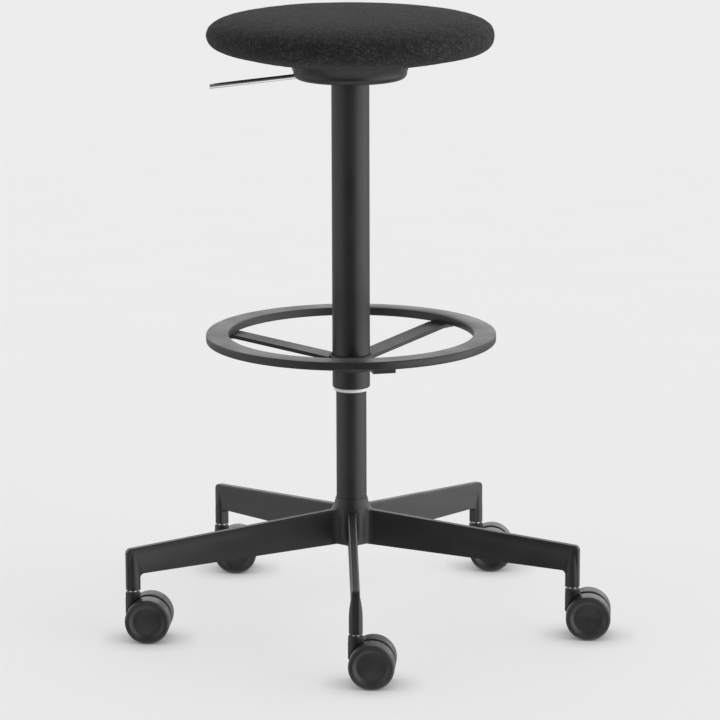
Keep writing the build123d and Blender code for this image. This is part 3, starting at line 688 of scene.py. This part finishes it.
FLOOR_SIZE = 60.0
FLOOR_GLOW = 0.565         # soft light the floor gives back by itself
CONTACT_GLOW = 0.05        # the same where something stands on it: a painted contact shadow
CONTACT_REACH = 45 * MM    # how close something has to be for that


def make_floor():
    """Pale paper floor that only the camera sees; the stool isn't lit by it or mirrored in it."""
    mesh = bpy.data.meshes.new("studio_floor")
    half = FLOOR_SIZE / 2
    corners = [(-half, -half, 0), (half, -half, 0), (half, half, 0), (-half, half, 0)]
    mesh.from_pydata(corners, [], [(0, 1, 2, 3)])
    floor = bpy.data.objects.new("studio_floor", mesh)
    bpy.context.collection.objects.link(floor)
    paper = new_material("studio_paper", (0.34, 0.34, 0.34), 0.9, specular=0.1)
    shader = shader_of(paper)
    shader.inputs["Emission Color"].default_value = (1.0, 1.0, 1.0, 1.0)
    tree = paper.node_tree
    # painted contact shadow: the floor's glow drops towards CONTACT_GLOW where the ambient
    # occlusion finds something close by
    contact_shadow = tree.nodes.new("ShaderNodeAmbientOcclusion")
    contact_shadow.samples = 12
    contact_shadow.inputs["Distance"].default_value = CONTACT_REACH
    glow = remap(tree, contact_shadow.outputs["AO"], 0.0, 1.0, CONTACT_GLOW, FLOOR_GLOW)
    tree.links.new(glow, shader.inputs["Emission Strength"])
    fibre = grain(tree, 4.0, detail=2.0)
    color = ramp(tree, fibre, ((0.3, (0.336, 0.336, 0.336)), (0.7, (0.344, 0.344, 0.344))))
    wire(paper, color)
    mesh.materials.append(paper)
    floor.visible_diffuse = False
    floor.visible_glossy = False
    floor.visible_shadow = False


def lobe(tree, direction, center, low, high, strength):
    """A soft patch of light in the studio's surroundings."""
    facing = dot_product(tree, direction, Vector(center).normalized())
    return remap(tree, facing, low, high, 0.0, strength, soft=True)


# centre direction, cosine where the patch fades out, cosine where it is full, strength
LIGHT_PATCHES = (
    ((0.1, 0.45, 1.0), 0.50, 0.90, 0.45),
    ((0.95, -0.27, 0.12), 0.55, 0.90, 1.85),
    ((-0.95, -0.22, 0.12), 0.62, 0.92, 0.85),
    ((0.0, -0.35, -1.0), 0.66, 0.90, 0.95),
)
# the bright wall behind the stool, which lights it
BACKDROP_STRENGTH = (0.35, 1.5)    # near the floor, above
BACKDROP_RISE = (-0.08, 0.05)      # direction heights between which it grows
BACKDROP_FADE = (0.32, 0.60)       # direction heights between which it fades out
BACKDROP_DEPTH = (0.15, 0.60)      # how far back it starts, where it is full
FILL = 0.13                        # light from everywhere
WALL_SEEN = 0.84                   # how bright the camera sees the wall above the floor


def backdrop(tree, direction):
    """A bright wall behind the object that fades out overhead."""
    parts = tree.nodes.new("ShaderNodeSeparateXYZ")
    tree.links.new(direction, parts.inputs["Vector"])
    wall = remap(tree, parts.outputs["Z"], *BACKDROP_RISE, *BACKDROP_STRENGTH)
    open_top = remap(tree, parts.outputs["Z"], *BACKDROP_FADE, 1.0, 0.0)
    behind = remap(tree, parts.outputs["Y"], *BACKDROP_DEPTH, 0.0, 1.0)
    return times(tree, times(tree, wall, open_top), behind)


def make_light():
    """Soft patches and a backdrop that light the stool; the camera sees a plain wall instead."""
    world = bpy.data.worlds.new("studio")
    bpy.context.scene.world = world
    world.use_nodes = True
    tree = world.node_tree
    direction = tree.nodes.new("ShaderNodeTexCoord").outputs["Generated"]
    total = add(tree, FILL, backdrop(tree, direction))
    for patch in LIGHT_PATCHES:
        total = add(tree, total, lobe(tree, direction, *patch))
    seen = tree.nodes.new("ShaderNodeLightPath").outputs["Is Camera Ray"]
    unseen = math_node(tree, "SUBTRACT", 1.0, seen)
    total = add(tree, times(tree, total, unseen), times(tree, seen, WALL_SEEN))
    background = tree.nodes["Background"]
    tree.links.new(total, background.inputs["Color"])
    background.inputs["Strength"].default_value = 1.0


CAMERA_PLACE = Vector((-0.0747, -4.8733, 1.4235))
CAMERA_HEADING = math.radians(1.018)
CAMERA_PITCH = math.radians(12.312)
CAMERA_ROLL = math.radians(0.158)
LENS = 184.76              # mm, on a sensor 36 mm wide
SENSOR = 36.0


def make_camera():
    """The photo's camera, as worked out from the stool."""
    data = bpy.data.cameras.new("camera")
    data.sensor_width = SENSOR
    data.lens = LENS
    data.clip_end = 200.0
    camera = bpy.data.objects.new("camera", data)
    bpy.context.collection.objects.link(camera)
    camera.location = CAMERA_PLACE
    forward = Vector((
        math.sin(CAMERA_HEADING) * math.cos(CAMERA_PITCH),
        math.cos(CAMERA_HEADING) * math.cos(CAMERA_PITCH),
        -math.sin(CAMERA_PITCH),
    ))
    camera.rotation_euler = forward.to_track_quat("-Z", "Y").to_euler()
    camera.rotation_euler.rotate_axis("Z", -CAMERA_ROLL)
    bpy.context.scene.camera = camera


make_floor()
make_light()
make_camera()

bpy.context.scene.view_settings.view_transform = "Standard"
